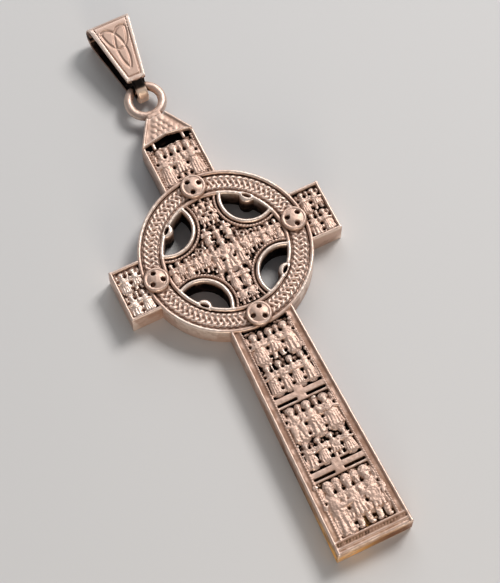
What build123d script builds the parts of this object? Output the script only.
from build123d import *
import os
from math import asin, atan2, cos, degrees, hypot, radians, sin

# Ringed high cross pendant in cast silver, lying on its back, with a tapered bail through its eyelet.
# Millimetres. The origin is the wheel's centre on the flat back: +X along the arms, +Y towards the
# bail, +Z out of the carved front.

# Outline of the cross
BODY_THICK = 3.0
RING_OUTER_R = 9.3
RING_INNER_R = 6.5
ARM_REACH = 12.2
ARM_HALF_HEIGHT = 3.0
ARMPIT_OFFSET = 4.75
ARMPIT_R = 2.75
ROLL_R = 0.84
ROLL_SINK = 0.24
ROLL_SLIT_LENGTH = 1.0
ROLL_SLIT_WIDTH = 0.4
TOP_ARM_HALF_WIDTH = 3.0
TOP_ARM_LENGTH = 5.1
ROOF_HEIGHT = 2.9
NECK_HALF_WIDTH = 1.1
SHAFT_HALF_WIDTH = 3.6
FOOT_HALF_WIDTH = 4.25
PANEL_LENGTHS = (7.5, 7.3, 6.4)
RAIL_GAP = 1.3
FOOT_BAND = 1.4

# Depths of the sunk fields below the front, and heights of the relief above their floors
CHANNEL_DEPTH = 0.25
FIELD_DEPTH = 0.55
RING_BAND_DEPTH = 0.4
SLOT_DEPTH = 1.0
ROBE_RISE = 0.42
HEAD_RISE = 0.55
RAIL_RISE = 0.5
PLAIT_RISE = 0.32
ROOF_RISE = 0.3

# Borders
EDGE_BEAD = 0.4
CHANNEL_WIDTH = 0.6
RAIL_WIDTH = 0.6
RAIL_LINK_WIDTH = 0.9
RING_FILLET = 0.35
ARMPIT_FILLET = 0.35
ARMPIT_GROOVE = 0.25
SLOT_WIDTH = 0.45
ROOF_PEAK = 0.5

# Bosses where the ring crosses the arms, each with three pits
BOSS_CIRCLE_R = 8.0
BOSS_R = 1.35
BOSS_RISE = 0.6
BOSS_EDGE = 0.3
PIT_R = 0.28
PIT_CIRCLE_R = 0.7
PIT_DEPTH = 0.35
PIT_SPREAD = 60
PIT_TURN = -25

# Two-strand plait round the ring
CROSSINGS_PER_QUARTER = 7
STRAND_WIDTH = 0.36
PLAIT_MARGIN = 0.12

# Eyelet
EYELET_HOLE_R = 1.35
EYELET_WIRE_R = 0.5
STEM_LENGTH = 0.55
STEM_THICK = 1.4
STEM_HALF_WIDTH = 0.75

# Bail, a folded strip: a broad face that tapers down to a tongue
BAIL_LENGTH = 10.0
BAIL_TOP_R = 2.0
BAIL_TOP_REACH = 1.2
BAIL_WALL = 0.6
BAIL_TOP_WIDTH = 5.0
BAIL_WAIST_WIDTH = 2.1
BAIL_FACE_LENGTH = 7.9
TONGUE_WIDTH = 1.2
TONGUE_SLACK = 0.65

# Engraving on the bail's face
LINE_WIDTH = 0.22
LINE_DEPTH = 0.15
LINE_INSET = 0.4
LINE_TOP_INSET = 0.9
KNOT_R = 1.4
KNOT_STRETCH = 2.1
KNOT_DROP = 2.7

# A robed figure, from the hem to the neck, as shares of its own width and height
ROBE_OUTLINE = (
    # half-width share, height share
    (0.94, 0.00),
    (0.68, 0.40),
    (0.92, 0.66),
    (0.30, 0.75),
)
HEAD_CENTRE_SHARE = 0.86
HEAD_R_SHARE = 0.14
FIGURE_SPACING_SHARE = 0.9
FIGURE_BREADTH_SHARE = 0.62

# Rows of figures in the sunk fields: how many stand side by side, and where their feet and the tops
# of their heads are, as shares of the field's height
SHAFT_ROW_COUNTS = ((3, 4), (2, 4), (3,))
SHAFT_ROW_SHARES = (
    ((0.53, 0.97), (0.04, 0.49)),
    ((0.46, 0.98), (0.03, 0.43)),
    ((0.04, 0.97),),
)
ARM_ROW_COUNTS = (2, 2)
ARM_ROW_SHARES = ((0.52, 0.98), (0.03, 0.49))
TOP_ARM_ROW_COUNTS = (2,)
TOP_ARM_ROW_SHARES = ((0.04, 0.98),)

# Figures at the crossing, as shares of the ring's inner radius; those that stand aside are paired
CROSSING_FIGURES = (
    # across, feet, height, width
    (0.00, -0.44, 0.86, 0.28),
    (0.20, -0.35, 0.53, 0.17),
    (0.37, -0.22, 0.44, 0.15),
    (0.52, -0.18, 0.36, 0.14),
    (0.66, -0.17, 0.33, 0.13),
    (0.80, -0.17, 0.34, 0.13),
    (0.08, 0.53, 0.42, 0.15),
    (0.08, -0.94, 0.45, 0.15),
)

# Overlap that lets two shapes that meet run into each other
OVERLAP = 0.3

front = BODY_THICK
shaft_top_y = -RING_OUTER_R
eaves_y = RING_OUTER_R + TOP_ARM_LENGTH
roof_top_y = eaves_y + ROOF_HEIGHT
shaft_length = sum(PANEL_LENGTHS) + RAIL_GAP * (len(PANEL_LENGTHS) - 1) + FOOT_BAND
foot_y = shaft_top_y - shaft_length
field_inset = EDGE_BEAD + CHANNEL_WIDTH

eyelet_z = BODY_THICK / 2
eyelet_mean_r = EYELET_HOLE_R + EYELET_WIRE_R
eyelet_y = roof_top_y + STEM_LENGTH + eyelet_mean_r + EYELET_WIRE_R

bail_bottom_r = eyelet_z
bail_low_y = eyelet_y + EYELET_HOLE_R - TONGUE_SLACK - BAIL_WALL
bail_high_y = bail_low_y + BAIL_LENGTH
bail_face_y = bail_high_y - BAIL_FACE_LENGTH

quarters = (0, 90, 180, 270)
diagonals = (45, 135, 225, 315)


def polar(radius, angle):
    """The point at a radius and an angle in degrees round the wheel's centre."""
    return (radius * cos(radians(angle)), radius * sin(radians(angle)))


def oblong(x_low, x_high, y_low, y_high):
    """An upright rectangle between two corners."""
    middle = Pos((x_low + x_high) / 2, (y_low + y_high) / 2)
    return middle * Rectangle(x_high - x_low, y_high - y_low)


def outline_of(*points):
    """A closed straight-sided outline through points."""
    return Polygon(*points, align=None)


def prism(sketch, bottom, top):
    """A flat outline stood up between two heights."""
    return Pos(0, 0, bottom) * extrude(sketch, amount=top - bottom)


def bar(start, end, width):
    """A straight strip between two points."""
    run = (end[0] - start[0], end[1] - start[1])
    middle = Pos((start[0] + end[0]) / 2, (start[1] + end[1]) / 2)
    return middle * Rot(0, 0, degrees(atan2(run[1], run[0]))) * Rectangle(hypot(*run), width)


def ring(outer_r, inner_r):
    """A flat ring round the wheel's centre."""
    return Circle(outer_r) - Circle(inner_r)


def shaft_half_width(y):
    """Half the width of the tapering shaft at a height."""
    share = (shaft_top_y - y) / shaft_length
    return SHAFT_HALF_WIDTH + share * (FOOT_HALF_WIDTH - SHAFT_HALF_WIDTH)


def shaft_slice(top_y, low_y, inset):
    """The stretch of shaft between two heights, set in from both its edges."""
    top = shaft_half_width(top_y) - inset
    low = shaft_half_width(low_y) - inset
    return outline_of((-low, low_y), (low, low_y), (top, top_y), (-top, top_y))


def shaft_panels():
    """The top and bottom of each carved panel of the shaft."""
    top = shaft_top_y
    panels = []
    for length in PANEL_LENGTHS:
        panels.append((top, top - length))
        top -= length + RAIL_GAP
    return panels


def armpits(radius):
    """The four round hollows between the arms, at one radius."""
    corners = [(x, y) for x in (-ARMPIT_OFFSET, ARMPIT_OFFSET) for y in (-ARMPIT_OFFSET, ARMPIT_OFFSET)]
    return Sketch() + [Pos(*corner) * Circle(radius) for corner in corners]


def rolls(radius):
    """Round outlines at the ring's four rolls, which stand half out of its inner side."""
    centre_r = RING_INNER_R + ROLL_SINK
    return Sketch() + [Pos(*polar(centre_r, angle)) * Circle(radius) for angle in diagonals]


def roll_slits():
    """The slit in the end of each roll, which lies along the ring."""
    slit = Ellipse(ROLL_SLIT_WIDTH / 2, ROLL_SLIT_LENGTH / 2)
    centre_r = RING_INNER_R + ROLL_SINK
    return Sketch() + [Pos(*polar(centre_r, angle)) * Rot(0, 0, angle) * slit for angle in diagonals]


def openings():
    """The four pierced openings, each with a roll standing in its outer side."""
    return (Circle(RING_INNER_R) & armpits(ARMPIT_R)) - rolls(ROLL_R)


def roof(peak):
    """The gable over the top arm, with the middle of its lower edge lifted to a peak."""
    corners = [
        (TOP_ARM_HALF_WIDTH, eaves_y),
        (NECK_HALF_WIDTH, roof_top_y),
        (-NECK_HALF_WIDTH, roof_top_y),
        (-TOP_ARM_HALF_WIDTH, eaves_y),
    ]
    return outline_of(*corners, (0, eaves_y + peak)) if peak else outline_of(*corners)


def body_outline():
    """The front outline of the cross, from its foot to its roof, pierced between the arms."""
    arms = Rectangle(2 * ARM_REACH, 2 * ARM_HALF_HEIGHT)
    top_arm = oblong(-TOP_ARM_HALF_WIDTH, TOP_ARM_HALF_WIDTH, 0, eaves_y)
    below = oblong(-SHAFT_HALF_WIDTH, SHAFT_HALF_WIDTH, shaft_top_y, -RING_INNER_R)
    shaft = shaft_slice(shaft_top_y, foot_y, 0)
    return Circle(RING_OUTER_R) + arms + top_arm + below + shaft + roof(0) - openings()


def bosses():
    """The four round bosses, and the pits that are drilled in their tops."""
    top = front + BOSS_RISE
    stand = Cylinder(BOSS_R, BOSS_RISE + FIELD_DEPTH, align=(Align.CENTER, Align.CENTER, Align.MAX))
    stand = chamfer(stand.edges().group_by(Axis.Z)[-1], BOSS_EDGE)
    pit = Cylinder(PIT_R, PIT_DEPTH, align=(Align.CENTER, Align.CENTER, Align.MAX))
    stands, pits = [], []
    for quarter in quarters:
        centre = polar(BOSS_CIRCLE_R, quarter)
        stands.append(Pos(*centre, top) * stand)
        for turn in (180, PIT_SPREAD, -PIT_SPREAD):
            offset = polar(PIT_CIRCLE_R, quarter + turn + PIT_TURN)
            pits.append(Pos(centre[0] + offset[0], centre[1] + offset[1], top) * pit)
    return stands, pits


def boss_discs():
    """The ground that the bosses cover."""
    return Sketch() + [Pos(*polar(BOSS_CIRCLE_R, quarter)) * Circle(BOSS_R) for quarter in quarters]


def plait():
    """The two-strand plait between the bosses, as one flat outline."""
    low_r = RING_INNER_R + RING_FILLET + PLAIT_MARGIN + STRAND_WIDTH / 2
    high_r = RING_OUTER_R - RING_FILLET - PLAIT_MARGIN - STRAND_WIDTH / 2
    boss_angle = degrees(asin(BOSS_R / BOSS_CIRCLE_R))
    pitch = (90 - 2 * boss_angle) / CROSSINGS_PER_QUARTER
    strands = []
    for quarter in quarters:
        for count in range(CROSSINGS_PER_QUARTER):
            start = quarter + boss_angle + count * pitch
            strands.append(bar(polar(low_r, start), polar(high_r, start + pitch), STRAND_WIDTH))
            strands.append(bar(polar(high_r, start), polar(low_r, start + pitch), STRAND_WIDTH))
    return Sketch() + strands - boss_discs() - rolls(ROLL_R)


def figure(x, feet_y, height, width):
    """A robed figure seen from the front: the outlines of its robe and of its round head."""
    half = width / 2
    right = [(x + a * half, feet_y + b * height) for a, b in ROBE_OUTLINE]
    left = [(x - a * half, feet_y + b * height) for a, b in reversed(ROBE_OUTLINE)]
    head = Pos(x, feet_y + HEAD_CENTRE_SHARE * height) * Circle(HEAD_R_SHARE * height)
    return outline_of(*right, *left), head


def standing_rows(counts, shares, x_low, x_high, y_low, y_high):
    """Rows of figures that fill a field: the place, height and width of each."""
    placed = []
    for count, (feet, top) in zip(counts, shares):
        step = (x_high - x_low) / count
        height = (top - feet) * (y_high - y_low)
        width = min(FIGURE_SPACING_SHARE * step, FIGURE_BREADTH_SHARE * height)
        for place in range(count):
            placed.append((x_low + (place + 0.5) * step, y_low + feet * (y_high - y_low), height, width))
    return placed


def arm_field(side):
    """The sunk field at the end of an arm: its lowest and highest x."""
    near, far = RING_OUTER_R + OVERLAP, ARM_REACH - EDGE_BEAD
    return (near, far) if side > 0 else (-far, -near)


def all_figures():
    """The place, height and width of every figure on the cross."""
    placed = []
    for (top_y, low_y), counts, shares in zip(shaft_panels(), SHAFT_ROW_COUNTS, SHAFT_ROW_SHARES):
        half = shaft_half_width((top_y + low_y) / 2) - field_inset
        placed += standing_rows(counts, shares, -half, half, low_y, top_y)
    half_height = ARM_HALF_HEIGHT - EDGE_BEAD
    for side in (-1, 1):
        field = arm_field(side)
        placed += standing_rows(ARM_ROW_COUNTS, ARM_ROW_SHARES, *field, -half_height, half_height)
    half = TOP_ARM_HALF_WIDTH - EDGE_BEAD
    slot_y = eaves_y - SLOT_WIDTH
    placed += standing_rows(TOP_ARM_ROW_COUNTS, TOP_ARM_ROW_SHARES, -half, half, RING_OUTER_R, slot_y)
    for across, feet, height, width in CROSSING_FIGURES:
        for side in (-1, 1) if across else (1,):
            shares = (side * across, feet, height, width)
            placed.append(tuple(share * RING_INNER_R for share in shares))
    return placed


def sunk_fields():
    """Every field that is cut down from the front of the cross."""
    panels = shaft_panels()
    channel = shaft_slice(shaft_top_y + OVERLAP, panels[-1][1], EDGE_BEAD) - Circle(RING_OUTER_R)
    field = shaft_slice(shaft_top_y + OVERLAP, panels[-1][1], field_inset) - Circle(RING_OUTER_R)
    groove_r = ARMPIT_R + ARMPIT_FILLET
    crossing = Circle(RING_INNER_R) - armpits(groove_r + ARMPIT_GROOVE + ARMPIT_FILLET)
    groove = (armpits(groove_r + ARMPIT_GROOVE) - armpits(groove_r)) & Circle(RING_INNER_R)
    ring_band = ring(RING_OUTER_R - RING_FILLET, RING_INNER_R + RING_FILLET) - rolls(ROLL_R)
    half_height = ARM_HALF_HEIGHT - EDGE_BEAD
    arm_ends = oblong(-ARM_REACH + EDGE_BEAD, ARM_REACH - EDGE_BEAD, -half_height, half_height)
    half = TOP_ARM_HALF_WIDTH - EDGE_BEAD
    top_field = oblong(-half, half, 0, eaves_y)
    outside = (arm_ends + top_field) - Circle(RING_OUTER_R)
    slot = oblong(-half, half, eaves_y - SLOT_WIDTH, eaves_y + ROOF_PEAK)
    slot = slot & (roof(0) + oblong(-half, half, 0, eaves_y))
    cuts = (
        (channel, CHANNEL_DEPTH),
        (field, FIELD_DEPTH),
        (crossing, FIELD_DEPTH),
        (outside, FIELD_DEPTH),
        (groove, CHANNEL_DEPTH),
        (ring_band, RING_BAND_DEPTH),
        (slot, SLOT_DEPTH),
        (roll_slits(), PIT_DEPTH),
    )
    return [prism(sketch, front - depth, front + OVERLAP) for sketch, depth in cuts]


def rails():
    """The cross rails between the panels, and the short link through the middle of each."""
    panels = shaft_panels()
    strips = []
    for upper, lower in zip(panels, panels[1:]):
        middle = (upper[1] + lower[0]) / 2
        half = RAIL_WIDTH / 2
        strips.append(shaft_slice(middle + half, middle - half, EDGE_BEAD))
        strips.append(oblong(-RAIL_LINK_WIDTH / 2, RAIL_LINK_WIDTH / 2, lower[0], upper[1]))
    return Sketch() + strips


def eyelet():
    """The round eyelet over the roof and the tapering stem that carries it."""
    stem_y = eyelet_y - eyelet_mean_r
    stem = outline_of(
        (-NECK_HALF_WIDTH, roof_top_y - OVERLAP),
        (NECK_HALF_WIDTH, roof_top_y - OVERLAP),
        (STEM_HALF_WIDTH, stem_y),
        (-STEM_HALF_WIDTH, stem_y),
    )
    loop = Pos(0, eyelet_y, eyelet_z) * Torus(eyelet_mean_r, EYELET_WIRE_R)
    return prism(stem, eyelet_z - STEM_THICK / 2, eyelet_z + STEM_THICK / 2) + loop


def make_cross():
    """The one casting: slab, borders, relief, bosses and eyelet."""
    robes, heads = zip(*[figure(*place) for place in all_figures()])
    field_floor = front - FIELD_DEPTH
    band_floor = front - RING_BAND_DEPTH
    stands, pits = bosses()
    body = prism(body_outline(), 0, front)
    body = body - sunk_fields()
    relief = [
        prism(Sketch() + list(robes), field_floor - OVERLAP, field_floor + ROBE_RISE),
        prism(Sketch() + list(heads), field_floor - OVERLAP, field_floor + HEAD_RISE),
        prism(rails(), field_floor - OVERLAP, field_floor + RAIL_RISE),
        prism(plait(), band_floor - OVERLAP, band_floor + PLAIT_RISE),
        prism(roof(ROOF_PEAK), front - OVERLAP, front + ROOF_RISE),
    ]
    return body + relief + stands + [eyelet()] - pits


def side_outline(depth, upper_bend):
    """The side view of the bail, at a depth inside its lower bend, up to the upper bend that is given."""
    low_bend = Pos(bail_low_y + bail_bottom_r, bail_bottom_r) * Circle(bail_bottom_r - depth)
    return make_hull(low_bend.edges() + upper_bend.edges())


def bail_outside(depth):
    """The side view of the bail's outside, or of a layer under it; its face runs on flat almost to the top."""
    upper_bend = Ellipse(BAIL_TOP_REACH - depth, BAIL_TOP_R - depth)
    return side_outline(depth, Pos(bail_high_y - BAIL_TOP_REACH, BAIL_TOP_R) * upper_bend)


def chain_passage():
    """The side view of the space inside the bail, round where the chain hangs."""
    upper_bend = Circle(BAIL_TOP_R - BAIL_WALL)
    return side_outline(BAIL_WALL, Pos(bail_high_y - BAIL_TOP_R, BAIL_TOP_R) * upper_bend)


def bail_half_width(y):
    """Half the width of the bail's broad part at a height."""
    share = (y - bail_face_y) / (bail_high_y - bail_face_y)
    return (BAIL_WAIST_WIDTH + share * (BAIL_TOP_WIDTH - BAIL_WAIST_WIDTH)) / 2


def bail_plan(low_y, high_y, inset):
    """The broad part of the bail seen from the front, set in from its edges."""
    low, high = bail_half_width(low_y) - inset, bail_half_width(high_y) - inset
    return outline_of((-low, low_y), (low, low_y), (high, high_y), (-high, high_y))


def folded(side_view):
    """A side view stood across the whole width of the bail."""
    return extrude(Plane.YZ * side_view, amount=BAIL_TOP_WIDTH, both=True)


def knot():
    """A knot of three loops, two up and one down, as the lines that draw it."""
    def loop(centre_angle, radius):
        away = KNOT_R / 3**0.5
        place = Pos(away * cos(radians(centre_angle)), KNOT_STRETCH * away * sin(radians(centre_angle)))
        return place * Ellipse(radius, KNOT_STRETCH * radius)

    angles = (90, 210, 330)
    lines = Sketch()
    for angle in angles:
        others = Sketch() + [loop(other, KNOT_R + LINE_WIDTH / 2) for other in angles if other != angle]
        lines += (loop(angle, KNOT_R + LINE_WIDTH / 2) - loop(angle, KNOT_R - LINE_WIDTH / 2)) & others
    return Pos(0, bail_high_y - KNOT_DROP) * lines


def make_bail():
    """The bail: the folded strip trimmed to its plan, with a border and a knot cut into its face."""
    broad = bail_plan(bail_face_y, bail_high_y + OVERLAP, 0)
    half = TONGUE_WIDTH / 2
    tongue = oblong(-half, half, bail_low_y - OVERLAP, bail_face_y + OVERLAP)
    deep = 2 * BAIL_TOP_R + OVERLAP
    strip = folded(bail_outside(0) - chain_passage())
    blank = strip & prism(broad + tongue, -OVERLAP, deep)
    low_y, high_y = bail_face_y + LINE_INSET, bail_high_y - LINE_TOP_INSET
    border = bail_plan(low_y, high_y, LINE_INSET)
    border -= bail_plan(low_y + LINE_WIDTH, high_y - LINE_WIDTH, LINE_INSET + LINE_WIDTH)
    skin = folded(bail_outside(-OVERLAP) - bail_outside(LINE_DEPTH))
    return blank - (skin & prism(border + knot(), BAIL_TOP_R, deep + OVERLAP))


os.makedirs("parts", exist_ok=True)
for name, solid in (("cross", make_cross()), ("bail", make_bail())):
    export_step(solid, f"parts/{name}.step")
    print(name, round(solid.volume, 2), "mm3,", len(solid.solids()), "solid,", len(solid.faces()), "faces")
